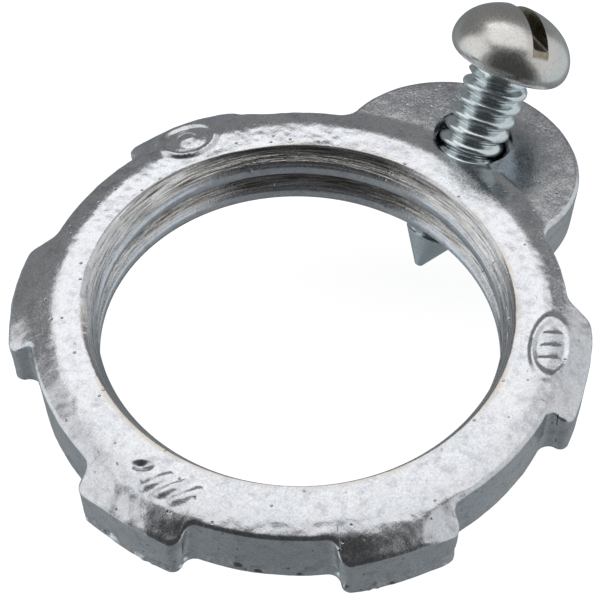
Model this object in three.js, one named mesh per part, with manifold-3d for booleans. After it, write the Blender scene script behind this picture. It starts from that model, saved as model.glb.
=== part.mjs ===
// A 1/2 inch conduit bonding locknut: a lugged ring threaded for conduit, and the slanted
// slotted screw in its boss that bites into the wall of an enclosure to bond it.
//
// Millimetres. The conduit thread's axis is Z, the flat bearing face lies at Z = 0, the domed
// face points along +Z, and the boss is on the +X side.

import * as THREE from 'three';
import { mergeVertices } from 'three/addons/utils/BufferGeometryUtils.js';
import Module from 'manifold-3d';

// ---------------------------------------------------------------- driving dimensions

const INCH = 25.4;
const DEG = Math.PI / 180;
const QUARTER_TURN = Math.PI / 2;

// Conduit thread: 1/2 inch trade size, 14 threads per inch, with broad flat crests.
const CONDUIT_PITCH = INCH / 14;
const CONDUIT_CREST_R = 9.83;
const CONDUIT_CREST_SHARE = 0.3; // of one pitch
const CONDUIT_ROOT_SHARE = 0.1;
const CONDUIT_CREST_HEIGHT = 0.72; // of a crest's middle, on the boss's side
const CONDUIT_TURNS = 4;
const THREAD_FLANK_ANGLE = 30 * DEG;

// Ring: a nearly level band runs round the mouth of the bore, then the top slopes down to the
// edge. The outer wall has draft.
const RING_HEIGHT = 4.0;
const BAND_R = 12.0;
const BAND_SLOPE = 2 * DEG;
const EDGE_SLOPE = 21 * DEG;
const MOUTH_R = 10.4;
const MOUTH_DEPTH = 0.6;
const FOOT_BEVEL_R = 10.35;
const FOOT_BEVEL_DEPTH = 0.45;
const RING_R = 13.05;
const EDGE_ROUND = 0.35; // radius of the rounded outer edge of the ring and of the lugs
const WALL_DRAFT = 4 * DEG;

// Lugs.
const LUG_R = 14.2;
const LUG_HALF_ANGLE = 12.5 * DEG;
const LUG_CORNER_R = 0.75;
const LUG_FOOT_R = 0.5;
const LUG_ANGLES = [66, 124, 183.5, 239, 296].map((angle) => angle * DEG);

// Boss: a round ear whose flat top leans outwards.
const BOSS_X = 12.66;
const BOSS_TOP_R = 6.2;
const BOSS_TOP_HEIGHT = 3.4;
const BOSS_TILT = 8 * DEG;
const BOSS_DRAFT = 3 * DEG;

// Screw: No. 6-32 round head, slotted, with a blunt cone point.
const SCREW_PITCH = INCH / 32;
const SCREW_CREST_R = 1.67;
const SCREW_CREST_SHARE = 0.14;
const SCREW_ROOT_R = 1.2;
const SCREW_ROOT_SHARE = 0.18;
const SCREW_CREST_OFFSET = -0.1; // of a crest's middle from the seat, at the thread's angle 0
const SCREW_NECK_R = 1.4;
const SCREW_NECK_LENGTH = 0.45;
const SCREW_LENGTH = 11.75;
const SCREW_TIP_R = 0.22;
const SCREW_CONE_HALF_ANGLE = 32 * DEG;
const SCREW_LEAN = 34.5 * DEG;
const SCREW_STAND_OFF = 4.13; // from the boss's top to the seat of the head, along the screw
const SCREW_HOLE_X = 14.62; // where the screw's axis meets the boss's top
const SCREW_HOLE_Y = 0.5;
const SCREW_CLEARANCE = 0.18;
const HOLE_MOUTH_R = 2.0;
const HOLE_MOUTH_DEPTH = 0.3;

const HEAD_R = 3.12;
const HEAD_HEIGHT = 3.08;
const HEAD_RIM_HEIGHT = 0.8;
const HEAD_SEAT_R = 2.5;
const SLOT_WIDTH = 0.9;
const SLOT_DEPTH = 1.05;
const SLOT_TURN = 55 * DEG;

const RING_SEGMENTS = 96;
const BOSS_SEGMENTS = 64;
const HOLE_SEGMENTS = 40;
const SCREW_SEGMENTS = 32;
const CORNER_SEGMENTS = 6;
const ROUND_STEPS = 4;
const HEAD_STEPS = 10;
const SPARE = 1; // how far a cutter runs past the face that it opens

// ---------------------------------------------------------------- solids

const wasm = await Module();
wasm.setup();

function toSolid(geometry) {
  const bare = geometry.clone();
  bare.deleteAttribute('normal');
  bare.deleteAttribute('uv');
  const merged = mergeVertices(bare, 1e-5);
  const mesh = new wasm.Mesh({
    numProp: 3,
    vertProperties: new Float32Array(merged.attributes.position.array),
    triVerts: new Uint32Array(merged.index.array),
  });
  return new wasm.Manifold(mesh);
}

function toMesh(name, solid, material) {
  const data = solid.getMesh();
  const geometry = new THREE.BufferGeometry();
  geometry.setAttribute('position', new THREE.BufferAttribute(data.vertProperties, 3));
  geometry.setIndex(new THREE.BufferAttribute(data.triVerts, 1));
  geometry.computeVertexNormals();
  const mesh = new THREE.Mesh(geometry, material);
  mesh.name = name;
  return mesh;
}

// A solid of revolution about Z, from [radius, height] pairs that start and end on the axis
// and run from low to high.
function turned(profile, segments) {
  const points = profile.map(([radius, height]) => new THREE.Vector2(radius, height));
  return toSolid(new THREE.LatheGeometry(points, segments).rotateX(QUARTER_TURN));
}

// A thread's profile over one pitch, as [share, radius] corners. A crest's middle is at share 0.
function threadProfile(crestR, rootR, crestShare, rootShare) {
  const flankShare = (1 - crestShare - rootShare) / 2;
  const rootStart = crestShare / 2 + flankShare;
  return [
    [-crestShare / 2, crestR],
    [crestShare / 2, crestR],
    [rootStart, rootR],
    [rootStart + rootShare, rootR],
  ];
}

// A round bar about Z with a right-handed helical thread. A crest's middle passes z = start at
// angle 0.
function threadedBar({ pitch, turns, start, profile, segments }) {
  const corners = profile.length;
  const rows = turns * corners;
  const positions = [];
  const indices = [];
  for (let i = 0; i < segments; i += 1) {
    const share = i / segments;
    const angle = share * 2 * Math.PI;
    for (let row = 0; row <= rows; row += 1) {
      const [offset, radius] = profile[row % corners];
      const pitches = Math.floor(row / corners) + offset + share;
      positions.push(radius * Math.cos(angle), radius * Math.sin(angle), start + pitch * pitches);
    }
  }
  // One full turn climbs one pitch, so the column past the last is the first, one pitch up.
  const vertex = (i, row) => (i === segments ? row + corners : i * (rows + 1) + row);
  for (let i = 0; i < segments; i += 1) {
    const top = i === segments - 1 ? rows - corners : rows;
    for (let row = 0; row < top; row += 1) {
      const [a, b] = [vertex(i, row), vertex(i + 1, row)];
      const [c, d] = [vertex(i + 1, row + 1), vertex(i, row + 1)];
      indices.push(a, b, c, a, c, d);
    }
  }
  // Each end is a fan round the axis. Its edge follows the last turn, then the seam's step.
  const footEdge = [];
  const crownEdge = [];
  for (let i = 0; i < segments; i += 1) {
    footEdge.push(vertex(i, 0));
    crownEdge.push(vertex(i, rows));
  }
  for (let step = 0; step < corners; step += 1) {
    footEdge.push(corners - step);
    crownEdge.push(vertex(segments - 1, rows - 1 - step));
  }
  const foot = positions.length / 3;
  const crown = foot + 1;
  positions.push(0, 0, start);
  positions.push(0, 0, start + pitch * (turns + 1));
  for (let i = 0; i < segments + corners; i += 1) {
    const next = (i + 1) % (segments + corners);
    indices.push(foot, footEdge[next], footEdge[i]);
    indices.push(crown, crownEdge[i], crownEdge[next]);
  }
  const geometry = new THREE.BufferGeometry();
  geometry.setAttribute('position', new THREE.Float32BufferAttribute(positions, 3));
  geometry.setIndex(indices);
  return toSolid(geometry);
}

// ---------------------------------------------------------------- locknut body

// A disc with the band and slope on top, a rounded outer edge and a drafted wall.
function domedDisc(outerR) {
  const bandHeight = RING_HEIGHT - (BAND_R - MOUTH_R) * Math.tan(BAND_SLOPE);
  const edgeHeight = bandHeight - (outerR - BAND_R) * Math.tan(EDGE_SLOPE);
  const sweep = QUARTER_TURN - EDGE_SLOPE;
  const roundR = outerR - EDGE_ROUND;
  const roundHeight = edgeHeight - EDGE_ROUND * Math.tan(sweep / 2);
  const profile = [[0, 0], [outerR - roundHeight * Math.tan(WALL_DRAFT), 0]];
  for (let step = 0; step <= ROUND_STEPS; step += 1) {
    const turn = (step / ROUND_STEPS) * sweep;
    profile.push([roundR + EDGE_ROUND * Math.cos(turn), roundHeight + EDGE_ROUND * Math.sin(turn)]);
  }
  profile.push([BAND_R, bandHeight], [MOUTH_R, RING_HEIGHT], [0, RING_HEIGHT]);
  return turned(profile, RING_SEGMENTS);
}

// The plan of the lugs on a core that stays inside the ring. The sides of a lug are radial,
// its corners are rounded, and fillets lead into the ring's wall.
function lugPlan() {
  const plan = new THREE.Shape();
  const coreR = RING_R - EDGE_ROUND;
  const cornerR = LUG_R - LUG_CORNER_R;
  const filletR = RING_R + LUG_FOOT_R;
  const cornerTurn = Math.asin(LUG_CORNER_R / cornerR);
  const filletTurn = Math.asin(LUG_FOOT_R / filletR);
  const arcAt = (centreR, angle, radius, from, to, clockwise) => {
    plan.absarc(centreR * Math.cos(angle), centreR * Math.sin(angle), radius, from, to, clockwise);
  };
  LUG_ANGLES.forEach((middle, i) => {
    const previous = i === 0 ? LUG_ANGLES.at(-1) - 2 * Math.PI : LUG_ANGLES[i - 1];
    const start = middle - LUG_HALF_ANGLE;
    const end = middle + LUG_HALF_ANGLE;
    const fillets = [start - filletTurn, end + filletTurn];
    const corners = [start + cornerTurn, end - cornerTurn];
    arcAt(0, 0, coreR, previous + LUG_HALF_ANGLE + filletTurn, fillets[0], false);
    arcAt(filletR, fillets[0], LUG_FOOT_R, fillets[0] + Math.PI, start + QUARTER_TURN, true);
    arcAt(cornerR, corners[0], LUG_CORNER_R, start - QUARTER_TURN, corners[0], false);
    arcAt(0, 0, LUG_R, corners[0], corners[1], false);
    arcAt(cornerR, corners[1], LUG_CORNER_R, corners[1], end + QUARTER_TURN, false);
    arcAt(filletR, fillets[1], LUG_FOOT_R, end - QUARTER_TURN, fillets[1] - Math.PI, true);
  });
  plan.closePath();
  return plan;
}

function lugs() {
  const prism = new THREE.ExtrudeGeometry(lugPlan(), {
    depth: RING_HEIGHT + SPARE,
    bevelEnabled: false,
    curveSegments: CORNER_SEGMENTS,
  });
  return toSolid(prism).intersect(domedDisc(LUG_R));
}

// A cone frustum stood on its small end and tilted, cut off level at the bearing face.
function boss() {
  const depth = BOSS_TOP_HEIGHT + 2 * SPARE;
  const footR = BOSS_TOP_R - depth * Math.tan(BOSS_DRAFT);
  const cone = new THREE.CylinderGeometry(BOSS_TOP_R, footR, depth, BOSS_SEGMENTS);
  cone.rotateX(QUARTER_TURN).translate(0, 0, -depth / 2);
  cone.rotateY(BOSS_TILT).translate(BOSS_X, 0, BOSS_TOP_HEIGHT);
  const above = new THREE.BoxGeometry(4 * BOSS_TOP_R, 4 * BOSS_TOP_R, 2 * depth);
  above.translate(BOSS_X, 0, depth);
  return toSolid(cone).intersect(toSolid(above));
}

function conduitBore() {
  const flankShare = (1 - CONDUIT_CREST_SHARE - CONDUIT_ROOT_SHARE) / 2;
  const flankDepth = (flankShare * CONDUIT_PITCH) / Math.tan(THREAD_FLANK_ANGLE);
  const rootR = CONDUIT_CREST_R + flankDepth;
  const thread = threadedBar({
    pitch: CONDUIT_PITCH,
    turns: CONDUIT_TURNS,
    start: CONDUIT_CREST_HEIGHT - (CONDUIT_TURNS / 2) * CONDUIT_PITCH,
    profile: threadProfile(CONDUIT_CREST_R, rootR, CONDUIT_CREST_SHARE, CONDUIT_ROOT_SHARE),
    segments: RING_SEGMENTS,
  });
  const mouthSlope = (MOUTH_R - CONDUIT_CREST_R) / MOUTH_DEPTH;
  const mouth = turned(
    [
      [0, RING_HEIGHT - MOUTH_DEPTH - SPARE],
      [CONDUIT_CREST_R - SPARE * mouthSlope, RING_HEIGHT - MOUTH_DEPTH - SPARE],
      [MOUTH_R + SPARE * mouthSlope, RING_HEIGHT + SPARE],
      [0, RING_HEIGHT + SPARE],
    ],
    RING_SEGMENTS,
  );
  const footSlope = (FOOT_BEVEL_R - CONDUIT_CREST_R) / FOOT_BEVEL_DEPTH;
  const foot = turned(
    [
      [0, -SPARE],
      [FOOT_BEVEL_R + SPARE * footSlope, -SPARE],
      [CONDUIT_CREST_R - SPARE * footSlope, FOOT_BEVEL_DEPTH + SPARE],
      [0, FOOT_BEVEL_DEPTH + SPARE],
    ],
    RING_SEGMENTS,
  );
  return thread.add(mouth).add(foot);
}

// The screw's own frame: its axis leans away from the bore, and z = 0 is the seat of the head.
const screwAxis = new THREE.Vector3(Math.sin(SCREW_LEAN), 0, Math.cos(SCREW_LEAN));
const bossFall = (SCREW_HOLE_X - BOSS_X) * Math.tan(BOSS_TILT);
const holeMouth = new THREE.Vector3(SCREW_HOLE_X, SCREW_HOLE_Y, BOSS_TOP_HEIGHT - bossFall);
const screwSeat = holeMouth.clone().addScaledVector(screwAxis, SCREW_STAND_OFF);

function screwHole() {
  const radius = SCREW_CREST_R + SCREW_CLEARANCE;
  const length = 2 * (RING_HEIGHT + SPARE);
  const bore = new THREE.CylinderGeometry(radius, radius, 2 * length, HOLE_SEGMENTS);
  bore.rotateX(QUARTER_TURN).rotateY(SCREW_LEAN).translate(holeMouth.x, holeMouth.y, holeMouth.z);
  const flare = (HOLE_MOUTH_R - radius) / HOLE_MOUTH_DEPTH;
  const wideR = radius + 2 * HOLE_MOUTH_DEPTH * flare;
  const mouth = new THREE.CylinderGeometry(wideR, radius, 2 * HOLE_MOUTH_DEPTH, HOLE_SEGMENTS);
  mouth.rotateX(QUARTER_TURN).rotateY(BOSS_TILT).translate(holeMouth.x, holeMouth.y, holeMouth.z);
  return toSolid(bore).add(toSolid(mouth));
}

function locknutBody() {
  const solid = domedDisc(RING_R).add(lugs()).add(boss()).subtract(conduitBore()).subtract(screwHole());
  const zinc = new THREE.MeshStandardMaterial({ color: 0xaeb3b8, roughness: 0.42, metalness: 0.9 });
  return toMesh('locknut_body', solid, zinc);
}

// ---------------------------------------------------------------- bonding screw

// A round head: the rim curves out from the seat, and the crown is a quarter ellipse.
function head() {
  const profile = [[0, 0], [HEAD_SEAT_R, 0]];
  for (let step = 1; step <= ROUND_STEPS; step += 1) {
    const turn = (step / ROUND_STEPS) * QUARTER_TURN;
    const radius = HEAD_SEAT_R + (HEAD_R - HEAD_SEAT_R) * Math.sin(turn);
    profile.push([radius, HEAD_RIM_HEIGHT * (1 - Math.cos(turn))]);
  }
  for (let step = 1; step < HEAD_STEPS; step += 1) {
    const turn = (step / HEAD_STEPS) * QUARTER_TURN;
    const height = HEAD_RIM_HEIGHT + (HEAD_HEIGHT - HEAD_RIM_HEIGHT) * Math.sin(turn);
    profile.push([HEAD_R * Math.cos(turn), height]);
  }
  profile.push([0, HEAD_HEIGHT]);
  const slot = new THREE.BoxGeometry(2 * (HEAD_R + SPARE), SLOT_WIDTH, 2 * SLOT_DEPTH);
  slot.translate(0, 0, HEAD_HEIGHT).rotateZ(SLOT_TURN);
  return turned(profile, SCREW_SEGMENTS).subtract(toSolid(slot));
}

// The thread, cut to a cone at the point and to a plain neck under the head.
function shank() {
  const turns = Math.ceil(SCREW_LENGTH / SCREW_PITCH) + 1;
  const thread = threadedBar({
    pitch: SCREW_PITCH,
    turns,
    start: SCREW_CREST_OFFSET - (turns + 1) * SCREW_PITCH,
    profile: threadProfile(SCREW_CREST_R, SCREW_ROOT_R, SCREW_CREST_SHARE, SCREW_ROOT_SHARE),
    segments: SCREW_SEGMENTS,
  });
  const coneLength = (SCREW_CREST_R - SCREW_TIP_R) / Math.tan(SCREW_CONE_HALF_ANGLE);
  const limit = turned(
    [
      [0, -SCREW_LENGTH],
      [SCREW_TIP_R, -SCREW_LENGTH],
      [SCREW_CREST_R, coneLength - SCREW_LENGTH],
      [SCREW_CREST_R, -SCREW_NECK_LENGTH - SCREW_CREST_R + SCREW_NECK_R],
      [SCREW_NECK_R, -SCREW_NECK_LENGTH],
      [0, -SCREW_NECK_LENGTH],
    ],
    SCREW_SEGMENTS,
  );
  const neckStart = -SCREW_NECK_LENGTH - SCREW_PITCH;
  const neckEnd = HEAD_RIM_HEIGHT / 2;
  const neck = turned(
    [
      [0, neckStart],
      [SCREW_ROOT_R, neckStart],
      [SCREW_NECK_R, -SCREW_NECK_LENGTH],
      [SCREW_NECK_R, neckEnd],
      [0, neckEnd],
    ],
    SCREW_SEGMENTS,
  );
  return thread.intersect(limit).add(neck);
}

function bondingScrew() {
  const steel = new THREE.MeshStandardMaterial({ color: 0xa7a6a2, roughness: 0.35, metalness: 0.95 });
  const mesh = toMesh('bonding_screw', head().add(shank()), steel);
  mesh.position.copy(screwSeat);
  mesh.rotation.y = SCREW_LEAN;
  return mesh;
}

const locknut = new THREE.Group();
locknut.add(locknutBody());
locknut.add(bondingScrew());

export default locknut;
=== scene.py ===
import math

import bmesh
import bpy
import numpy as np
from mathutils import Matrix, Vector, noise


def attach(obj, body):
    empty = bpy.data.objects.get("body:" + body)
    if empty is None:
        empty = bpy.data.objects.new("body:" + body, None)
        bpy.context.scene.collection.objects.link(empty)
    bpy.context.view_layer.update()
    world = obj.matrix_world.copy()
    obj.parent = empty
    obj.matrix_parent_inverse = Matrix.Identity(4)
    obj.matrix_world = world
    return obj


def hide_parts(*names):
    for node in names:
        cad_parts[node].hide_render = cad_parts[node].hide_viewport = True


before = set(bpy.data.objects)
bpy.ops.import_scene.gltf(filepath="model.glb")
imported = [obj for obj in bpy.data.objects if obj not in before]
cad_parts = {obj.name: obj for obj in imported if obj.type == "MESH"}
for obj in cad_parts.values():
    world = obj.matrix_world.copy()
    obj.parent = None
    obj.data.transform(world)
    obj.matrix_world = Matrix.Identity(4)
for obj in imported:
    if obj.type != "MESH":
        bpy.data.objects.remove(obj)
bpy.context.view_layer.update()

MM = 0.001
DEG = math.pi / 180

# ---------------------------------------------------------------- the part's own sizes, in mm

# The ring's top is a nearly level band, then a shoulder, then a steeper rim.
RING_HEIGHT = 4.0
MOUTH_R = 10.4
MOUTH_DROP = 0.02
BAND_SLOPE = 0.035
SHOULDER_R, SHOULDER_HEIGHT, SHOULDER_SLOPE = 12.0, 3.93, 0.35
RIM_R, RIM_HEIGHT, RIM_SLOPE = 13.1, 3.545, 0.60
RIM_BLEND = 0.08
TOP_BLEND = 0.1  # how wide the other parts of the top run into each other
FOOT_BEVEL_R = 10.35
FOOT_BEVEL_DEPTH = 0.45
RING_R = 13.03
WALL_DRAFT = 4 * DEG
DRAFTED_SHARE = 0.85  # of the ring's height
FOOT_ROUND = 0.18
RING_TOP_ROUND = 0.15
BOSS_TOP_ROUND = 0.2

LUG_R = 14.15
LUG_ANGLES = [66 * DEG, 124 * DEG, 183.5 * DEG, 239 * DEG, 296 * DEG]
# How far each lug's top falls away at its two ends, and between which distances from its middle.
LUG_END_DROPS = [(0.12, 0.12), (0.08, 0.36), (0.48, 0.20), (0.14, 0.42), (0.30, 0.10)]
DROP_START, DROP_END, LUG_TIP = 0.9, 3.3, 4.0
DROP_INNER_R, DROP_OUTER_R = 12.75, 13.7
# A lug's end: how far its foot lies from the lug's middle, flank slope, foot radius, corner radius.
STEEP_END = (14.4 * DEG, 91.9 * DEG, 0.44, 0.64)
SLANTED_END = (18.4 * DEG, 52 * DEG, 0.9, 0.7)
SHALLOW_END = (20.5 * DEG, 30 * DEG, 2.2, 1.4)
LUG_ENDS = [
    (SHALLOW_END, STEEP_END), (SLANTED_END, STEEP_END), (STEEP_END, STEEP_END),
    (STEEP_END, STEEP_END), (STEEP_END, SLANTED_END),
]

BOSS_X = 12.66
BOSS_R = 6.18
BOSS_HEIGHT = 3.4
BOSS_TILT = 8 * DEG
BOSS_WEB_R = 1.1  # of the hollow corner between boss and ring
BOSS_MARGIN = 0.9  # how far past the boss's radius its own edge rounding reaches

CONDUIT_PITCH = 25.4 / 14
CONDUIT_CREST_R = 9.83
CONDUIT_CREST_SHARE = 0.42  # of one pitch
CONDUIT_ROOT_R = 10.77
CONDUIT_ROOT_SHARE = 0.08
CONDUIT_CREST_HEIGHT = 0.72
CONDUIT_EASE = 0.025
CONDUIT_TURNS = 4
MOUTH_BEVEL_FOOT = 1.7  # how far below the ring's top the mouth's bevel is cut from

SCREW_PITCH = 25.4 / 32
SCREW_CREST_R = 1.67
SCREW_ROOT_R = 1.2
SCREW_CREST_OFFSET = -0.1
SCREW_LENGTH = 11.74
SCREW_TIP_R = 0.22
SCREW_CONE_HALF_ANGLE = 32 * DEG
SCREW_LEAN = 34.5 * DEG
SCREW_STAND_OFF = 4.13
SCREW_HOLE = (14.62, 0.5)
NECK_R = 1.42
NECK_LENGTH = 0.45
NECK_FILLET = 0.12
# Half of one pitch of the screw's thread, as (share of a pitch, depth below the crest).
SCREW_THREAD_HALF = [(0.0, 0.0), (0.1, 0.012), (0.19, 0.055), (0.3, 0.16), (0.4, 0.27), (0.47, 0.32)]
HEAD_R = 3.115
HEAD_HEIGHT = 3.075
HEAD_RIM_HEIGHT = 0.8
HEAD_SEAT_R = 2.5
SLOT_WIDTH = 0.9
SLOT_DEPTH = 1.05
SLOT_TURN = 55 * DEG
HOLE_CREST_R = 1.76
HOLE_ROOT_R = 1.72
HOLE_EASE = 0.04
HOLE_TURNS = 18
HOLE_FLARE = [(1.62, -0.5), (1.84, -0.22), (2.0, -0.04), (2.16, 0.12), (2.9, 0.8)]

# Mesh fineness.
STEP = 0.095  # along the outline
BLANK_BORE_R = 9.0
FLOOR_ROWS = 9
WALL_ROWS = 24
TOP_ROWS = 62
BORE_SEGMENTS = 360
SCREW_SEGMENTS = 96
HOLE_SEGMENTS = 72
HEAD_SEGMENTS = 160
SPARE = 1  # how far a cutter runs past the face that it opens

# Casting marks, each placed at (radius, angle).
MARK_HEIGHT = 0.16
LINE_WIDTH = 0.26
RING_MARK = (12.35, 67 * DEG)
OVAL_MARK = (12.2, 298 * DEG)
BARS_MARK = (11.9, 189 * DEG)

# How far the cast surface wanders, and the part of the wall that carries drips.
WANDER, OFF_BOSS_WANDER = 0.010, 0.012
LUMP_HEIGHT, LUMP_R = 0.03, 13.9
DRIP_HEIGHT, DRIP_DEPTH, DRIP_THRESHOLD = 0.22, 0.26, 0.22
DRIP_FROM, DRIP_TO = (150 * DEG, 172 * DEG), (262 * DEG, 236 * DEG)

# ---------------------------------------------------------------- small helpers


def smooth(low, high, value):
    t = np.clip((value - low) / (high - low), 0, 1)
    return t * t * (3 - 2 * t)


def soft_max(a, b, width):
    h = np.clip(0.5 + 0.5 * (a - b) / width, 0, 1)
    return b + (a - b) * h + width * h * (1 - h)


def polar(radius, angle):
    return (radius * math.cos(angle), radius * math.sin(angle))


def mesh_object(name, vertices, faces):
    data = bpy.data.meshes.new(name)
    data.from_pydata([tuple(v) for v in np.asarray(vertices) * MM], [], [tuple(f) for f in faces])
    data.update()
    piece = bpy.data.objects.new(name, data)
    bpy.context.scene.collection.objects.link(piece)
    return piece


def grid_faces(rows, columns, wrap_rows=False):
    """Quads of a rows x columns grid whose columns wrap round."""
    faces = []
    last = rows if wrap_rows else rows - 1
    for i in range(last):
        k = (i + 1) % rows
        for j in range(columns):
            m = (j + 1) % columns
            faces.append((i * columns + j, i * columns + m, k * columns + m, k * columns + j))
    return faces


def turned(name, profile, segments):
    """A closed solid of revolution about Z from (radius, height) pairs that start and end on the axis."""
    ring = profile[1:-1]
    angles = np.arange(segments) * 2 * math.pi / segments
    vertices = [(r * math.cos(a), r * math.sin(a), z) for r, z in ring for a in angles]
    faces = grid_faces(len(ring), segments)
    foot, crown = len(vertices), len(vertices) + 1
    vertices += [(0, 0, profile[0][1]), (0, 0, profile[-1][1])]
    top = (len(ring) - 1) * segments
    for j in range(segments):
        m = (j + 1) % segments
        faces.append((foot, m, j))
        faces.append((crown, top + j, top + m))
    return mesh_object(name, vertices, faces)


def threaded_bar(name, pitch, turns, start, profile, segments):
    """A round bar with a right-handed helical thread. profile lists (share, radius) over one pitch."""
    corners = len(profile)
    rows = turns * corners
    vertices = []
    for i in range(segments):
        share = i / segments
        angle = share * 2 * math.pi
        for row in range(rows + 1):
            offset, radius = profile[row % corners]
            pitches = row // corners + offset + share
            vertices.append((radius * math.cos(angle), radius * math.sin(angle), start + pitch * pitches))

    def vertex(i, row):
        return row + corners if i == segments else i * (rows + 1) + row

    faces = []
    for i in range(segments):
        top = rows - corners if i == segments - 1 else rows
        for row in range(top):
            faces.append((vertex(i, row), vertex(i + 1, row), vertex(i + 1, row + 1), vertex(i, row + 1)))
    foot_edge = [vertex(i, 0) for i in range(segments)] + [corners - s for s in range(corners)]
    crown_edge = [vertex(i, rows) for i in range(segments)]
    crown_edge += [vertex(segments - 1, rows - 1 - s) for s in range(corners)]
    foot, crown = len(vertices), len(vertices) + 1
    vertices += [(0, 0, start), (0, 0, start + pitch * (turns + 1))]
    for i in range(segments + corners):
        k = (i + 1) % (segments + corners)
        faces.append((foot, foot_edge[k], foot_edge[i]))
        faces.append((crown, crown_edge[i], crown_edge[k]))
    return mesh_object(name, vertices, faces)


def combine(piece, tool, operation):
    modifier = piece.modifiers.new("combine", "BOOLEAN")
    modifier.operation = operation
    modifier.solver = "MANIFOLD"
    modifier.object = tool
    bpy.context.view_layer.update()
    evaluated = piece.evaluated_get(bpy.context.evaluated_depsgraph_get())
    made = bpy.data.meshes.new_from_object(evaluated)
    piece.modifiers.clear()
    piece.data = made
    bpy.data.objects.remove(tool)
    return piece


# ---------------------------------------------------------------- locknut body: plan


def arc(centre, radius, start, end):
    """Points and outward normals along an arc. A negative sweep is a concave arc."""
    count = max(2, int(abs(end - start) * radius / STEP) + 1)
    side = 1 if end > start else -1
    points = []
    for i in range(count):
        a = start + (end - start) * i / count
        c, s = math.cos(a), math.sin(a)
        points.append((centre[0] + radius * c, centre[1] + radius * s, side * c, side * s))
    return points


def lug_end(foot_angle, slope, foot, corner, falling):
    """One end of a lug: a concave foot off the ring, a straight flank and a convex corner.

    slope is the flank's angle to the ring's own direction. A falling end is a rising one in a mirror.
    """
    flank_normal, flank_way = np.array(polar(1, -slope)), np.array(polar(1, math.pi / 2 - slope))
    foot_centre = np.array([RING_R + foot, 0])
    off = foot_centre - (foot + corner) * flank_normal
    length = math.sqrt((off @ flank_way) ** 2 - off @ off + (LUG_R - corner) ** 2) - off @ flank_way
    corner_centre = off + length * flank_way
    corner_angle = math.atan2(corner_centre[1], corner_centre[0])
    points = arc(foot_centre, foot, math.pi, math.pi - slope)
    start = foot_centre - foot * flank_normal
    count = max(1, int(length / STEP))
    points += [(*(start + flank_way * length * i / count), *flank_normal) for i in range(count)]
    points += arc(corner_centre, corner, -slope, corner_angle)
    points.append((*polar(LUG_R, corner_angle), *polar(1, corner_angle)))
    if falling:
        points = [(x, -y, nx, -ny) for x, y, nx, ny in points[::-1]]
        corner_angle = -corner_angle
    c, s = math.cos(foot_angle), math.sin(foot_angle)
    placed = [(x * c - y * s, x * s + y * c, nx * c - ny * s, nx * s + ny * c) for x, y, nx, ny in points]
    return placed, foot_angle + corner_angle


def plan_outline():
    """The plan of ring, lugs and boss, anticlockwise from the boss, as (x, y, normal x, normal y)."""
    a, b = RING_R + BOSS_WEB_R, BOSS_R + BOSS_WEB_R
    x = (BOSS_X**2 + a**2 - b**2) / (2 * BOSS_X)
    y = math.sqrt(a**2 - x**2)
    web_angle = math.atan2(y, x)
    boss_angle = math.atan2(y, x - BOSS_X)
    points = arc((BOSS_X, 0), BOSS_R, -boss_angle, boss_angle)
    points += arc((x, y), BOSS_WEB_R, boss_angle + math.pi, web_angle + math.pi)
    at = web_angle
    for middle, (rise, fall) in zip(LUG_ANGLES, LUG_ENDS):
        rising, top_start = lug_end(middle - rise[0], *rise[1:], falling=False)
        dropping, top_end = lug_end(middle + fall[0], *fall[1:], falling=True)
        points += arc((0, 0), RING_R, at, middle - rise[0])
        points += rising
        points += arc((0, 0), LUG_R, top_start, top_end)[1:]
        points += dropping
        at = middle + fall[0]
    points += arc((0, 0), RING_R, at, 2 * math.pi - web_angle)
    points += arc((x, -y), BOSS_WEB_R, math.pi - web_angle, math.pi - boss_angle)
    return np.array(points)


# ---------------------------------------------------------------- locknut body: top surface


def dome(r):
    """The ring's top: a nearly level band round the mouth that rolls over into a steeper slope."""
    band = RING_HEIGHT - MOUTH_DROP - BAND_SLOPE * (r - MOUTH_R)
    shoulder = SHOULDER_HEIGHT - SHOULDER_SLOPE * (r - SHOULDER_R)
    rim = RIM_HEIGHT - RIM_SLOPE * (r - RIM_R)
    return -soft_max(soft_max(-band, -shoulder, TOP_BLEND), -rim, RIM_BLEND)


def hips(x, y):
    """How far each lug's top falls away towards its two ends."""
    r, theta = np.hypot(x, y), np.arctan2(y, x)
    drop = np.zeros_like(r)
    for middle, ends in zip(LUG_ANGLES, LUG_END_DROPS):
        off = ((theta - middle + math.pi) % (2 * math.pi) - math.pi) * r
        for side, most in zip((-1, 1), ends):
            on_this_lug = smooth(LUG_TIP, DROP_END, side * off)
            drop = np.maximum(drop, most * smooth(DROP_START, DROP_END, side * off) * on_this_lug)
    return drop * smooth(DROP_INNER_R, DROP_OUTER_R, r)


def boss_plane(x):
    return BOSS_HEIGHT - (x - BOSS_X) * math.tan(BOSS_TILT)


def top_height(x, y):
    """The casting's top, where the boss's flat top merges into the ring's dome."""
    ring_top = dome(np.hypot(x, y)) - hips(x, y)
    boss_share = smooth(1.0, -0.2, np.hypot(x - BOSS_X, y) - BOSS_R)
    merged = soft_max(ring_top, boss_plane(x), TOP_BLEND)
    return ring_top + (merged - ring_top) * boss_share


def stroke(x, y, ax, ay, bx, by, width):
    """1 on a straight stroke from a to b, falling smoothly to 0 at its edge."""
    dx, dy = bx - ax, by - ay
    t = np.clip(((x - ax) * dx + (y - ay) * dy) / (dx * dx + dy * dy), 0, 1)
    distance = np.hypot(x - ax - t * dx, y - ay - t * dy)
    return 1 - smooth(0, width, distance)


def loop(x, y, half_x, half_y, width):
    """1 on an oval line."""
    scaled = np.hypot(x / half_x, y / half_y)
    distance = np.abs(scaled - 1) * min(half_x, half_y)
    return 1 - smooth(0, width, distance)


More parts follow.
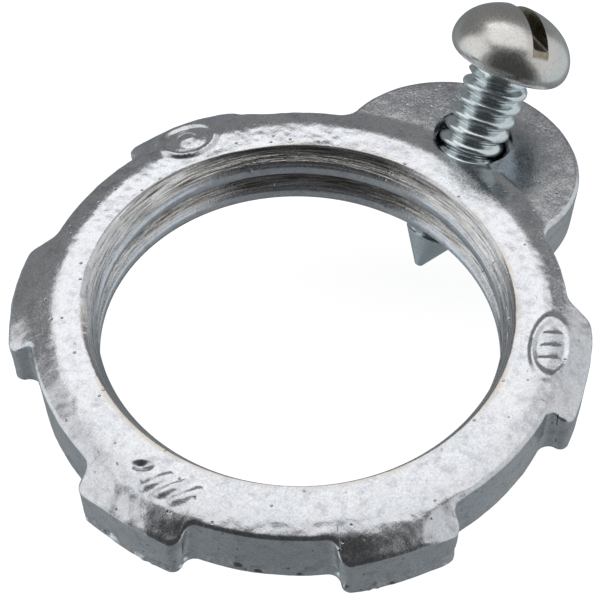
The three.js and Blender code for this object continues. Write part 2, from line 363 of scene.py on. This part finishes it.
def dimple(x, y, turn, half_long, half_wide):
    """1 at the middle of a leaf-shaped hollow, falling smoothly to 0 at its edge."""
    c, s = math.cos(turn), math.sin(turn)
    return 1 - smooth(0, 1, np.hypot((x * c + y * s) / half_long, (y * c - x * s) / half_wide))


def raised_marks(x, y):
    """Plain casting marks: a dot in a ring, bars in an oval, and slanted bars beside a dent."""

    def local(radius, angle):
        """Distances along the ring and out from its axis, from a place on it."""
        cx, cy = polar(radius, angle)
        u = (x - cx) * -math.sin(angle) + (y - cy) * math.cos(angle)
        v = (x - cx) * math.cos(angle) + (y - cy) * math.sin(angle)
        return u, v

    u, v = local(*RING_MARK)
    ring = 1.3 * loop(u, v, 1.45, 1.2, LINE_WIDTH)
    dot = 1.3 - 1.3 * smooth(0.2, 0.66, np.hypot(u, v))
    total = np.maximum(ring, dot)

    u, v = local(*OVAL_MARK)
    total = np.maximum(total, 0.75 * loop(u, v, 1.75, 0.9, 0.24))
    for k in (-0.75, 0, 0.75):
        total = np.maximum(total, 0.45 * stroke(u, v, k - 0.12, -0.34, k + 0.12, 0.34, LINE_WIDTH))

    u, v = local(*BARS_MARK)
    for k in (-0.6, 0.2, 1.0):
        total = np.maximum(total, 0.42 * stroke(u, v, k - 0.42, 0.52, k + 0.36, -0.42, 0.35))
    return total - 1.5 * dimple(u + 1.7, v + 0.3, -27 * DEG, 0.72, 0.36)


# ---------------------------------------------------------------- locknut body: mesh


def soften(values, middle_weight, rounds):
    """Evens out a closed row of values."""
    for _ in range(rounds):
        values = (np.roll(values, 1) + middle_weight * values + np.roll(values, -1)) / (2 + middle_weight)
    return values


def inner_angles(outline):
    """The bore angle that each outline point's column runs in to, spread evenly round the bore."""
    theta = np.unwrap(np.arctan2(outline[:, 1], outline[:, 0]))
    ds = np.linalg.norm(np.roll(outline, -1, axis=0) - outline, axis=1)
    turn = np.append(np.diff(theta), theta[0] + 2 * math.pi - theta[-1])
    weight = np.clip(turn, 0, None) * RING_R + 0.25 * ds
    spread = np.cumsum(np.append(0, weight))[:-1] / weight.sum() * 2 * math.pi
    even = theta[0] + spread
    return even + soften(theta - even, 2, 60)


def body_blank():
    """The ring, lugs and boss as one grid of columns round the plan, with a plain undersized bore."""
    plan = plan_outline()
    count = len(plan)
    outline, normal = plan[:, :2], plan[:, 2:]
    angle = inner_angles(outline)
    inner = np.stack([np.cos(angle), np.sin(angle)], 1)
    on_boss = np.hypot(outline[:, 0] - BOSS_X, outline[:, 1]) < BOSS_R + BOSS_MARGIN
    round_top = soften(np.where(on_boss, BOSS_TOP_ROUND, RING_TOP_ROUND), 1, 12)

    rows = []
    # bottom face, from the bore to the rounded outer edge
    foot_edge = outline - normal * (np.tan(WALL_DRAFT) * RING_HEIGHT * DRAFTED_SHARE)
    for t in np.linspace(0, 1, FLOOR_ROWS):
        edge = foot_edge - normal * FOOT_ROUND
        rows.append(np.column_stack([inner * BLANK_BORE_R * (1 - t) + edge * t, np.zeros(count)]))
    for a in (30, 60):
        shift = FOOT_ROUND * (1 - math.sin(a * DEG))
        rise = np.full(count, FOOT_ROUND * (1 - math.cos(a * DEG)))
        rows.append(np.column_stack([foot_edge - normal * shift, rise]))
    # outer wall
    wall_top = top_height(outline[:, 0], outline[:, 1]) - round_top
    for t in np.linspace(0, 1, WALL_ROWS):
        z = FOOT_ROUND + (wall_top - FOOT_ROUND) * t
        inset = np.tan(WALL_DRAFT) * (wall_top - z)
        rows.append(np.column_stack([outline - normal * inset[:, None], z]))
    # rounded upper edge
    inside = outline - normal * round_top[:, None]
    for a in (15, 30, 45, 60, 75):
        reach = round_top * (1 - math.cos(a * DEG))
        lift = round_top * math.sin(a * DEG)
        at = outline - normal * reach[:, None]
        full = top_height(at[:, 0], at[:, 1])
        rows.append(np.column_stack([at, wall_top + (full - wall_top) * lift / round_top]))
    # top face, back to the bore
    for t in np.linspace(0, 1, TOP_ROWS):
        at = inside * (1 - t) + inner * BLANK_BORE_R * t
        z = top_height(at[:, 0], at[:, 1]) + MARK_HEIGHT * raised_marks(at[:, 0], at[:, 1])
        rows.append(np.column_stack([at, z]))
    # bore wall, back to the bottom face
    bore_top = rows[-1][:, 2]
    for t in np.linspace(0, 1, 6)[1:-1]:
        rows.append(np.column_stack([inner * BLANK_BORE_R, bore_top * (1 - t)]))
    faces = grid_faces(len(rows), count, wrap_rows=True)
    return mesh_object("locknut_shell", np.concatenate(rows), [f[::-1] for f in faces])


def thread_corners(crest_r, root_r, crest_share, root_share, ease):
    """Thread corners over one pitch, each cut by a small flat so that no edge is a knife edge."""
    flank = (1 - crest_share - root_share) / 2
    c, r = crest_share / 2, crest_share / 2 + flank
    slope = (root_r - crest_r) / flank
    past = ease * 0.6
    return [
        (-c + ease, crest_r),
        (c - ease, crest_r),
        (c + past, crest_r + slope * past),
        (r - past, root_r - slope * past),
        (r + ease, root_r),
        (r + root_share - ease, root_r),
        (r + root_share + past, root_r - slope * past),
        (1 - c - past, crest_r + slope * past),
    ]


def roughen(piece):
    """A cast surface is never quite true: moves each vertex a little along its normal.

    The flat band is truest. The shoulders and lugs wander more, and part of the wall carries drips
    near its foot.
    """
    data = piece.data
    count = len(data.vertices)
    places, normals = np.zeros(count * 3), np.zeros(count * 3)
    data.vertices.foreach_get("co", places)
    data.vertices.foreach_get("normal", normals)
    places, normals = places.reshape(-1, 3) / MM, normals.reshape(-1, 3)
    radius = np.hypot(places[:, 0], places[:, 1])
    off_boss = smooth(-0.4, 0.6, np.hypot(places[:, 0] - BOSS_X, places[:, 1]) - BOSS_R)
    outer = smooth(RIM_R, LUMP_R, radius) * off_boss
    wall = smooth(0.5, 0.2, np.abs(normals[:, 2])) * smooth(12.4, 12.8, radius)
    low = wall * smooth(1.4, 0.7, places[:, 2]) * smooth(0.15, 0.35, places[:, 2])
    theta = np.arctan2(places[:, 1], places[:, 0]) % (2 * math.pi)
    low *= smooth(*DRIP_FROM, theta) * smooth(*DRIP_TO, theta)
    shift = np.empty(count)
    for i, place in enumerate(places):
        p = Vector(place)
        broad = noise.noise(p * 0.75) + 0.55 * noise.noise(p * 2.8)
        drip = noise.noise(Vector((p.x * 1.4, p.y * 1.4, p.z * 2.6 + 7))) + 0.4 * noise.noise(p * 4.1)
        raised, sunk = max(0.0, drip - DRIP_THRESHOLD), max(0.0, -drip - DRIP_THRESHOLD)
        drip = DRIP_HEIGHT * raised - DRIP_DEPTH * sunk
        shift[i] = broad * (WANDER + OFF_BOSS_WANDER * off_boss[i]) + low[i] * drip
    lumps = np.array([noise.noise(Vector(place) * 1.15 + Vector((3, 5, 1))) for place in places])
    shift += lumps * LUMP_HEIGHT * outer
    places += normals * shift[:, None]
    data.vertices.foreach_set("co", (places * MM).ravel())
    data.update()


def cut_conduit_bore(body):
    """Cuts the conduit thread, then a bevel at each of its ends."""
    corners = thread_corners(
        CONDUIT_CREST_R, CONDUIT_ROOT_R, CONDUIT_CREST_SHARE, CONDUIT_ROOT_SHARE, CONDUIT_EASE,
    )
    start = CONDUIT_CREST_HEIGHT - 2 * CONDUIT_PITCH
    bore = threaded_bar("bore", CONDUIT_PITCH, CONDUIT_TURNS, start, corners, BORE_SEGMENTS)
    combine(body, bore, "DIFFERENCE")
    foot_r, foot_z = CONDUIT_CREST_R - (MOUTH_R - CONDUIT_CREST_R), RING_HEIGHT - MOUTH_BEVEL_FOOT
    mouth = turned(
        "mouth",
        [(0, foot_z), (foot_r, foot_z), (MOUTH_R, RING_HEIGHT - MOUTH_DROP),
         (MOUTH_R + SPARE, RING_HEIGHT + SPARE), (0, RING_HEIGHT + SPARE)],
        BORE_SEGMENTS,
    )
    combine(body, mouth, "DIFFERENCE")
    slope = (FOOT_BEVEL_R - CONDUIT_CREST_R) / FOOT_BEVEL_DEPTH
    foot = turned(
        "foot",
        [(0, -SPARE), (FOOT_BEVEL_R + slope * SPARE, -SPARE),
         (CONDUIT_CREST_R - slope * SPARE, FOOT_BEVEL_DEPTH + SPARE), (0, FOOT_BEVEL_DEPTH + SPARE)],
        BORE_SEGMENTS,
    )
    combine(body, foot, "DIFFERENCE")


def cut_screw_hole(body):
    """Cuts the slanted ribbed hole, then a flare at its mouth that is square to the boss's top."""
    mouth = Matrix.Translation(Vector((*SCREW_HOLE, boss_plane(SCREW_HOLE[0]))) * MM)
    corners = thread_corners(HOLE_CREST_R, HOLE_ROOT_R, 0.3, 0.3, HOLE_EASE)
    start = -HOLE_TURNS / 2 * SCREW_PITCH
    hole = threaded_bar("hole", SCREW_PITCH, HOLE_TURNS, start, corners, HOLE_SEGMENTS)
    hole.data.transform(mouth @ Matrix.Rotation(SCREW_LEAN, 4, "Y"))
    combine(body, hole, "DIFFERENCE")
    profile = [(0, HOLE_FLARE[0][1]), *HOLE_FLARE, (0, HOLE_FLARE[-1][1])]
    flare = turned("flare", profile, HOLE_SEGMENTS)
    flare.data.transform(mouth @ Matrix.Rotation(BOSS_TILT, 4, "Y"))
    combine(body, flare, "DIFFERENCE")


def locknut_body():
    body = body_blank()
    roughen(body)
    cut_conduit_bore(body)
    cut_screw_hole(body)
    return body


# ---------------------------------------------------------------- bonding screw


def slot_cutter():
    """A bar across the head with a slightly rounded floor and a flare above the head."""
    half, floor = SLOT_WIDTH / 2, HEAD_HEIGHT - SLOT_DEPTH
    side = [(half - 0.09, floor), (half - 0.01, floor + 0.08), (half + 0.02, floor + 1.0),
            (half + 0.5, floor + 1.75)]
    section = [(-y, z) for y, z in side[::-1]] + side
    reach = HEAD_R + SPARE
    vertices = [(x, y, z) for x in (-reach, reach) for y, z in section]
    count = len(section)
    faces = [tuple(range(count))[::-1], tuple(range(count, 2 * count))]
    faces += [(i, (i + 1) % count, count + (i + 1) % count, count + i) for i in range(count)]
    slot = mesh_object("slot", vertices, faces)
    slot.data.transform(Matrix.Rotation(SLOT_TURN, 4, "Z"))
    mesh = bmesh.new()
    mesh.from_mesh(slot.data)
    bmesh.ops.recalc_face_normals(mesh, faces=mesh.faces)
    bmesh.ops.triangulate(mesh, faces=mesh.faces)
    mesh.to_mesh(slot.data)
    mesh.free()
    return slot


def screw_head():
    """A round head: a flat seat, a rolled rim and a dome, with its slot."""
    rim_steps, dome_steps = 12, 40
    profile = [(0, 0), (HEAD_SEAT_R * 0.6, 0), (HEAD_SEAT_R, 0.0)]
    for i in range(1, rim_steps + 1):
        a = i / rim_steps * math.pi / 2
        radius = HEAD_SEAT_R + (HEAD_R - HEAD_SEAT_R) * math.sin(a)
        profile.append((radius, HEAD_RIM_HEIGHT * (1 - math.cos(a))))
    for i in range(1, dome_steps):
        a = i / dome_steps * math.pi / 2
        height = HEAD_RIM_HEIGHT + (HEAD_HEIGHT - HEAD_RIM_HEIGHT) * math.sin(a)
        profile.append((HEAD_R * math.cos(a), height))
    profile.append((0, HEAD_HEIGHT))
    return combine(turned("screw_shell", profile, HEAD_SEGMENTS), slot_cutter(), "DIFFERENCE")


def screw_shank():
    """The threaded shank with its cone point, and the plain neck under the head."""
    turns = math.ceil(SCREW_LENGTH / SCREW_PITCH) + 1
    # broad rounded crests and narrow roots
    corners = [(share, SCREW_CREST_R - depth) for share, depth in SCREW_THREAD_HALF]
    corners += [(1 - share, SCREW_CREST_R - depth) for share, depth in SCREW_THREAD_HALF[:0:-1]]
    start = SCREW_CREST_OFFSET - (turns + 1) * SCREW_PITCH
    shank = threaded_bar("shank", SCREW_PITCH, turns, start, corners, SCREW_SEGMENTS)
    full_r = SCREW_CREST_R + 0.01
    cone = (full_r - SCREW_TIP_R) / math.tan(SCREW_CONE_HALF_ANGLE)
    limit = turned(
        "limit",
        [(0, -SCREW_LENGTH), (SCREW_TIP_R * 0.6, -SCREW_LENGTH), (SCREW_TIP_R * 0.95, -SCREW_LENGTH + 0.04),
         (SCREW_TIP_R + 0.04, -SCREW_LENGTH + 0.12), (full_r, cone - SCREW_LENGTH),
         (full_r, -NECK_LENGTH - 0.4), (NECK_R, -NECK_LENGTH), (0, -NECK_LENGTH)],
        SCREW_SEGMENTS,
    )
    combine(shank, limit, "INTERSECT")
    neck_foot = -NECK_LENGTH - SCREW_PITCH
    neck = turned(
        "neck",
        [(0, neck_foot), (SCREW_ROOT_R, neck_foot), (NECK_R, -NECK_LENGTH), (NECK_R, -NECK_FILLET),
         (NECK_R + NECK_FILLET, 0.02), (NECK_R + NECK_FILLET, 0.4), (0, 0.4)],
        SCREW_SEGMENTS,
    )
    return combine(shank, neck, "UNION")


def bonding_screw():
    """The whole screw, leaning in its hole with its head at its stand-off from the boss."""
    shank = screw_shank()
    screw = combine(screw_head(), shank, "UNION")
    seat = Vector((*SCREW_HOLE, boss_plane(SCREW_HOLE[0])))
    seat += Vector((math.sin(SCREW_LEAN), 0, math.cos(SCREW_LEAN))) * SCREW_STAND_OFF
    screw.data.transform(Matrix.Translation(seat * MM) @ Matrix.Rotation(SCREW_LEAN, 4, "Y"))
    return screw


def drop_stray_faces(data):
    """A cut can leave two faces back to back on the same corners: takes both away."""
    mesh = bmesh.new()
    mesh.from_mesh(data)
    on_corners = {}
    for face in mesh.faces:
        on_corners.setdefault(frozenset(corner.index for corner in face.verts), []).append(face)
    stray = [face for faces in on_corners.values() if len(faces) > 1 for face in faces]
    bmesh.ops.delete(mesh, geom=stray, context="FACES")
    mesh.to_mesh(data)
    mesh.free()


def finish_mesh(piece, angle):
    data = piece.data
    drop_stray_faces(data)
    for polygon in data.polygons:
        polygon.use_smooth = True
    data.set_sharp_from_angle(angle=angle * DEG)


# ---------------------------------------------------------------- materials


# How fine each pattern is, in cells for each metre.
CLOUD, MOTTLE, GRAIN, PITS = 260.0, 1500.0, 9000.0, 2600.0
TEAR = 11000.0
SCREW_CLOUD, SCREW_SLOT_SHADE_AND_STAIN, SCREW_GRAIN, SCREW_BRUSH = 420.0, 1300.0, 7000.0, (7000.0, 7000.0, 900.0)
BEVEL_SAMPLES = 4

WHITE = (1, 1, 1)
PIT_GREY = (0.20, 0.20, 0.21, 1)
WARM_STAIN = (0.48, 0.42, 0.34, 1)


class Nodes:
    """Short calls for building the nodes of a material or a world."""

    def __init__(self, owner):
        self.owner = owner
        owner.use_nodes = True
        self.tree = owner.node_tree
        self.shader = self.tree.nodes.get("Principled BSDF")

    def add(self, kind, inputs=None, **settings):
        node = self.tree.nodes.new(kind)
        for key, value in settings.items():
            setattr(node, key, value)
        for key, value in (inputs or {}).items():
            self.put(value, node.inputs[key])
        return node

    def put(self, value, socket):
        if isinstance(value, bpy.types.NodeSocket):
            self.tree.links.new(value, socket)
        else:
            socket.default_value = value

    def noise(self, where, scale, detail=3.0, roughness=0.6):
        inputs = {"Vector": where, "Scale": scale, "Detail": detail, "Roughness": roughness}
        return self.add("ShaderNodeTexNoise", inputs).outputs["Fac"]

    def ramp(self, value, stops):
        node = self.add("ShaderNodeValToRGB", {"Fac": value})
        elements = node.color_ramp.elements
        while len(elements) < len(stops):
            elements.new(0.5)
        for element, (position, colour) in zip(elements, stops):
            element.position = position
            element.color = (*colour, 1)
        return node.outputs["Color"]

    def mix(self, factor, a, b, mode="MIX"):
        node = self.add("ShaderNodeMix", data_type="RGBA", blend_type=mode)
        self.put(factor, node.inputs[0])
        self.put(a, node.inputs[6])
        self.put(b, node.inputs[7])
        return node.outputs[2]

    def math(self, operation, a, b=0.0):
        node = self.add("ShaderNodeMath", operation=operation)
        self.put(a, node.inputs[0])
        self.put(b, node.inputs[1])
        return node.outputs[0]

    def times(self, a, b):
        return self.math("MULTIPLY", a, b)

    def remap(self, value, low, high, to_low, to_high):
        ends = {"Value": value, "From Min": low, "From Max": high, "To Min": to_low, "To Max": to_high}
        return self.add("ShaderNodeMapRange", ends, interpolation_type="SMOOTHSTEP").outputs["Result"]

    def along(self, where, direction):
        node = self.add("ShaderNodeVectorMath", operation="DOT_PRODUCT")
        self.put(where, node.inputs[0])
        self.put(direction, node.inputs[1])
        return node.outputs["Value"]

    def within(self, value, low, high, soft):
        rise = self.remap(value, low - soft, low + soft, 0, 1)
        return self.times(rise, self.remap(value, high - soft, high + soft, 1, 0))

    def surface(self, height, distance, strength, edge_round):
        """Sets the shader's normal: a bump over slightly rounded edges."""
        edge = self.add("ShaderNodeBevel", {"Radius": edge_round}, samples=BEVEL_SAMPLES).outputs["Normal"]
        inputs = {"Height": height, "Distance": distance, "Strength": strength, "Normal": edge}
        self.put(self.add("ShaderNodeBump", inputs).outputs["Normal"], self.shader.inputs["Normal"])


def zinc_cast():
    n = Nodes(bpy.data.materials.new("zinc_plated_casting"))
    where = n.add("ShaderNodeTexCoord").outputs["Object"]
    x, y, z = n.add("ShaderNodeSeparateXYZ", {"Vector": where}).outputs
    radius = n.math("SQRT", n.math("ADD", n.times(x, x), n.times(y, y)))
    turn = n.math("ARCTAN2", y, x)

    # the tapped bore: torn, streaked flanks that run round it, with smoother crests. The flanks are darker
    # than the crests, partly from their own torn streaks and partly as painted shade in the thread's
    # grooves.
    in_bore = n.remap(radius, 10.9 * MM, 11.1 * MM, 1, 0)
    in_bore = n.times(in_bore, n.remap(z, 3.78 * MM, 3.92 * MM, 1, 0))
    flank = n.times(in_bore, n.remap(radius, 9.86 * MM, 10.0 * MM, 0.12, 1))
    lay = n.add("ShaderNodeCombineXYZ", {
        "X": n.times(turn, 5.0), "Y": n.times(z, TEAR), "Z": n.times(radius, TEAR),
    }).outputs["Vector"]
    tear = n.noise(lay, 1.0, 4.0, 0.65)
    # painted shade: the side of the bore towards +x and +y, away from the camera, gets the darker copy of
    # the torn colours
    far_wall_shade = n.remap(n.along(where, Vector((0.77, 0.64, 0))), 3 * MM, 9 * MM, 0, 1)

    # clouds of plating, mottle, grain, and pits in a few of the cells
    cloud = n.noise(where, CLOUD, 4.0)
    mottle = n.noise(where, MOTTLE, 4.0, 0.65)
    grain = n.noise(where, GRAIN)
    cell = n.add("ShaderNodeTexVoronoi", {"Vector": where, "Scale": PITS})
    chance = n.add("ShaderNodeSeparateColor", {"Color": cell.outputs["Color"]}).outputs["Red"]
    pit = n.remap(cell.outputs["Distance"], 0.10, 0.26, 1, 0)
    pit = n.times(pit, n.remap(chance, 0.84, 0.90, 0, 1))

    colour = n.ramp(cloud, [
        (0.3, (0.57, 0.59, 0.615)), (0.55, (0.63, 0.64, 0.66)), (0.75, (0.68, 0.68, 0.675)),
    ])
    dusk = n.ramp(mottle, [(0.32, (0.70, 0.71, 0.73)), (0.5, WHITE), (1.0, WHITE)])
    colour = n.mix(0.8, colour, dusk, "MULTIPLY")
    salt = n.ramp(grain, [(0.3, (0.62, 0.62, 0.63)), (0.5, (0.95, 0.95, 0.95)), (0.68, (1.25, 1.25, 1.25))])
    colour = n.mix(0.5, colour, salt, "MULTIPLY")
    colour = n.mix(n.times(pit, 0.65), colour, PIT_GREY)
    # a warm stain gathers in patches along the mouth's edge
    from_edge = n.math("ABSOLUTE", n.math("SUBTRACT", radius, (MOUTH_R + 0.05) * MM))
    rim_stain = n.remap(from_edge, 0.02 * MM, 0.24 * MM, 0.65, 0)
    rim_stain = n.times(rim_stain, n.remap(cloud, 0.42, 0.60, 0.1, 1))
    rim_stain = n.times(rim_stain, n.remap(z, 3.4 * MM, 3.7 * MM, 0, 1))
    colour = n.mix(rim_stain, colour, WARM_STAIN)
    # two copies of the torn colours: a darker one that paints shade on the far side of the bore, and a
    # lighter one
    shaded_tear = n.ramp(tear, [
        (0.34, (0.09, 0.08, 0.07)), (0.48, (0.38, 0.37, 0.355)), (0.64, (0.74, 0.74, 0.73)),
    ])
    lit_tear = n.ramp(tear, [
        (0.34, (0.26, 0.27, 0.28)), (0.46, (0.55, 0.56, 0.57)), (0.60, (0.74, 0.74, 0.74)),
    ])
    # the flanks take the torn colours over the plating, darker than the crests in part as painted shade
    colour = n.mix(flank, colour, n.mix(far_wall_shade, lit_tear, shaded_tear))
    n.put(colour, n.shader.inputs["Base Color"])
    n.shader.inputs["Metallic"].default_value = 1.0
    rough = n.remap(cloud, 0.3, 0.7, 0.16, 0.24)
    rough = n.math("ADD", rough, n.remap(grain, 0.3, 0.7, -0.04, 0.06))
    n.put(rough, n.shader.inputs["Roughness"])
    height = n.math("ADD", n.times(grain, 0.28), n.times(mottle, 0.9))
    height = n.math("SUBTRACT", height, n.times(pit, 1.1))
    height = n.math("ADD", height, n.times(n.times(tear, flank), 3.0))
    n.surface(height, 0.025 * MM, 0.62, 0.09 * MM)
    return n.owner


def screw_steel():
    n = Nodes(bpy.data.materials.new("plated_screw_steel"))
    where = n.add("ShaderNodeTexCoord").outputs["Object"]
    axis = Vector((math.sin(SCREW_LEAN), 0, math.cos(SCREW_LEAN)))
    seat = Vector((*SCREW_HOLE, boss_plane(SCREW_HOLE[0]))) * MM + axis * SCREW_STAND_OFF * MM
    across = Matrix.Rotation(SCREW_LEAN, 3, "Y") @ Vector((-math.sin(SLOT_TURN), math.cos(SLOT_TURN), 0))
    local = n.add("ShaderNodeVectorMath", {0: where, 1: seat}, operation="SUBTRACT").outputs["Vector"]
    height = n.along(local, axis)
    from_slot = n.math("ABSOLUTE", n.along(local, across))

    on_shank = n.remap(height, -0.02 * MM, 0.03 * MM, 1, 0)
    slot_half = SLOT_WIDTH / 2
    in_slot = n.remap(from_slot, (slot_half + 0.01) * MM, (slot_half + 0.03) * MM, 1, 0)
    in_slot = n.times(in_slot, n.remap(height, 1.6 * MM, 1.8 * MM, 0, 1))

    cloud = n.noise(where, SCREW_CLOUD, 4.0)
    grain = n.noise(where, SCREW_GRAIN)
    brush = n.add("ShaderNodeMapping", {"Vector": local, "Scale": SCREW_BRUSH}).outputs["Vector"]
    brush = n.noise(brush, 1.0)
    head = n.ramp(cloud, [(0.3, (0.52, 0.515, 0.49)), (0.7, (0.62, 0.61, 0.585))])
    shank = n.ramp(cloud, [(0.3, (0.55, 0.62, 0.64)), (0.7, (0.68, 0.74, 0.75))])
    # dark brown on the slot's walls and floor: partly a real stain, partly painted shade in the slot
    slot_shade_and_stain = n.ramp(n.noise(where, SCREW_SLOT_SHADE_AND_STAIN), [
        (0.35, (0.16, 0.12, 0.075)), (0.5, (0.30, 0.27, 0.21)), (0.65, (0.36, 0.39, 0.37)),
    ])
    colour = n.mix(on_shank, head, shank)
    speck = n.ramp(grain, [(0.3, (0.72, 0.72, 0.72)), (0.5, WHITE), (1.0, WHITE)])
    colour = n.mix(0.6, colour, speck, "MULTIPLY")
    # the slot takes its dark colours, stain and painted shade together
    colour = n.mix(in_slot, colour, slot_shade_and_stain)
    n.put(colour, n.shader.inputs["Base Color"])
    n.shader.inputs["Metallic"].default_value = 1.0
    rough = n.math("ADD", n.remap(brush, 0.3, 0.7, 0.20, 0.31), n.times(on_shank, -0.06))
    n.put(rough, n.shader.inputs["Roughness"])
    relief = n.math("ADD", n.times(grain, 0.5), n.times(brush, 0.6))
    n.surface(relief, 0.012 * MM, 0.5, 0.06 * MM)
    return n.owner


# ---------------------------------------------------------------- the two pieces


def finish_piece(piece, sharp_angle, material):
    finish_mesh(piece, sharp_angle)
    piece.data.materials.clear()
    piece.data.materials.append(material)


body = locknut_body()
finish_piece(body, 38, zinc_cast())
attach(body, "nut")
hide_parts("locknut_body")

screw = bonding_screw()
finish_piece(screw, 40, screw_steel())
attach(screw, "screw")
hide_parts("bonding_screw")

# ---------------------------------------------------------------- floor, light, camera

FLOOR_HEIGHT = -5.6 * MM
CAMERA_AZIMUTH = -140.3 * DEG
CAMERA_ELEVATION = 52.2 * DEG
CAMERA_ROLL = -0.5 * DEG
CAMERA_DISTANCE = 0.1248
LENS, SENSOR_WIDTH = 155.3, 36
SHIFT_X, SHIFT_Y = -0.00017, 0.0107


def stage_object(name, mesh):
    data = bpy.data.meshes.new(name)
    mesh.to_mesh(data)
    mesh.free()
    piece = bpy.data.objects.new(name, data)
    bpy.context.scene.collection.objects.link(piece)
    return piece


def white_surface(name, base, emission):
    n = Nodes(bpy.data.materials.new(name))
    n.shader.inputs["Base Color"].default_value = (base, base, base, 1)
    n.shader.inputs["Emission Color"].default_value = (1, 1, 1, 1)
    n.shader.inputs["Emission Strength"].default_value = emission
    return n


def floor_plane():
    mesh = bmesh.new()
    bmesh.ops.create_grid(mesh, x_segments=4, y_segments=4, size=3.0)
    floor = stage_object("floor", mesh)
    floor.location = (0, 0, FLOOR_HEIGHT)
    n = white_surface("floor", 0.35, 0.86)
    n.shader.inputs["Roughness"].default_value = 1.0
    floor.data.materials.append(n.owner)
    floor.visible_glossy = False
    floor.visible_shadow = False


def backdrop():
    """A white surround beyond the floor's edge, only for the camera."""
    mesh = bmesh.new()
    bmesh.ops.create_uvsphere(mesh, u_segments=48, v_segments=24, radius=4.0)
    surround = stage_object("backdrop", mesh)
    surround.data.materials.append(white_surface("backdrop", 0, 1.0).owner)
    for seen_by in ("diffuse", "glossy", "transmission", "shadow", "volume_scatter"):
        setattr(surround, "visible_" + seen_by, False)


def studio():
    """Soft light from large panels: overhead, behind, at the left and right, and little in front."""
    world = bpy.data.worlds.new("studio")
    bpy.context.scene.world = world
    n = Nodes(world)
    seen = n.add("ShaderNodeTexCoord").outputs["Generated"]
    a = CAMERA_AZIMUTH
    right = Vector((-math.sin(a), math.cos(a), 0))
    back = Vector((-math.cos(a), -math.sin(a), 0))
    up = Vector((0, 0, 1))

    def panel(facing, across, across_range, rise, rise_range, soft):
        """1 where a flat panel one unit away in the facing direction is seen."""
        ahead = n.along(seen, facing)
        depth = n.math("MAXIMUM", ahead, 0.001)
        u = n.within(n.math("DIVIDE", n.along(seen, across), depth), *across_range, soft)
        v = n.within(n.math("DIVIDE", n.along(seen, rise), depth), *rise_range, soft)
        return n.times(n.times(u, v), n.remap(ahead, 0.001, 0.01, 0, 1))

    # a faint glow all round, a little stronger low at the sides and darker in front
    front = panel(-back, right, (-1.1, 0.85), up, (-0.65, 2.4), 0.15)
    sides = n.remap(n.math("ABSOLUTE", n.along(seen, right)), 0.15, 0.8, 0, 0.16)
    below = n.times(sides, n.remap(n.along(seen, up), -0.3, 0.05, 1, 0))
    glow = n.times(n.math("ADD", below, 0.27), n.remap(front, 0, 1, 1, 0.27))
    overhead = panel(up, right, (-0.52, 0.75), back, (-0.17, 1.1), 0.05)
    back_strip = panel(up, right, (-0.42, 0.32), back, (0.72, 1.14), 0.08)
    left_fill = panel(up, right, (-0.95, -0.3), back, (-0.02, 0.62), 0.10)
    left_wall = panel(-right, back, (-0.6, 0.48), up, (-0.75, 1.45), 0.12)
    right_wall = panel(right, back, (-0.9, 0.95), up, (-0.95, 1.35), 0.12)
    for share, strength in (
        (overhead, 1.3), (back_strip, 1.75), (left_fill, 1.0), (left_wall, 1.12), (right_wall, 0.88),
    ):
        glow = n.math("MAXIMUM", glow, n.times(share, strength))
    background = n.tree.nodes["Background"]
    n.put(glow, background.inputs["Strength"])
    horizon = n.remap(n.along(seen, up), -0.25, 0.1, 0, 1)
    n.put(n.ramp(horizon, [(0, (0.88, 0.95, 1)), (1, (0.99, 0.99, 1))]), background.inputs["Color"])


def place_camera():
    camera = bpy.data.cameras.new("camera")
    camera.lens = LENS
    camera.sensor_width = SENSOR_WIDTH
    camera.shift_x = SHIFT_X
    camera.shift_y = SHIFT_Y
    camera.clip_start = 0.001
    camera.clip_end = 10
    viewer = bpy.data.objects.new("camera", camera)
    bpy.context.scene.collection.objects.link(viewer)
    level = math.cos(CAMERA_ELEVATION)
    towards = Vector((*polar(level, CAMERA_AZIMUTH), math.sin(CAMERA_ELEVATION)))
    aim = Vector((0, 0, RING_HEIGHT * MM))
    rotation = towards.to_track_quat("Z", "Y").to_matrix().to_4x4() @ Matrix.Rotation(CAMERA_ROLL, 4, "Z")
    viewer.matrix_world = Matrix.Translation(aim + towards * CAMERA_DISTANCE) @ rotation
    bpy.context.scene.camera = viewer


floor_plane()
backdrop()
studio()
place_camera()
bpy.context.scene.view_settings.view_transform = "Standard"
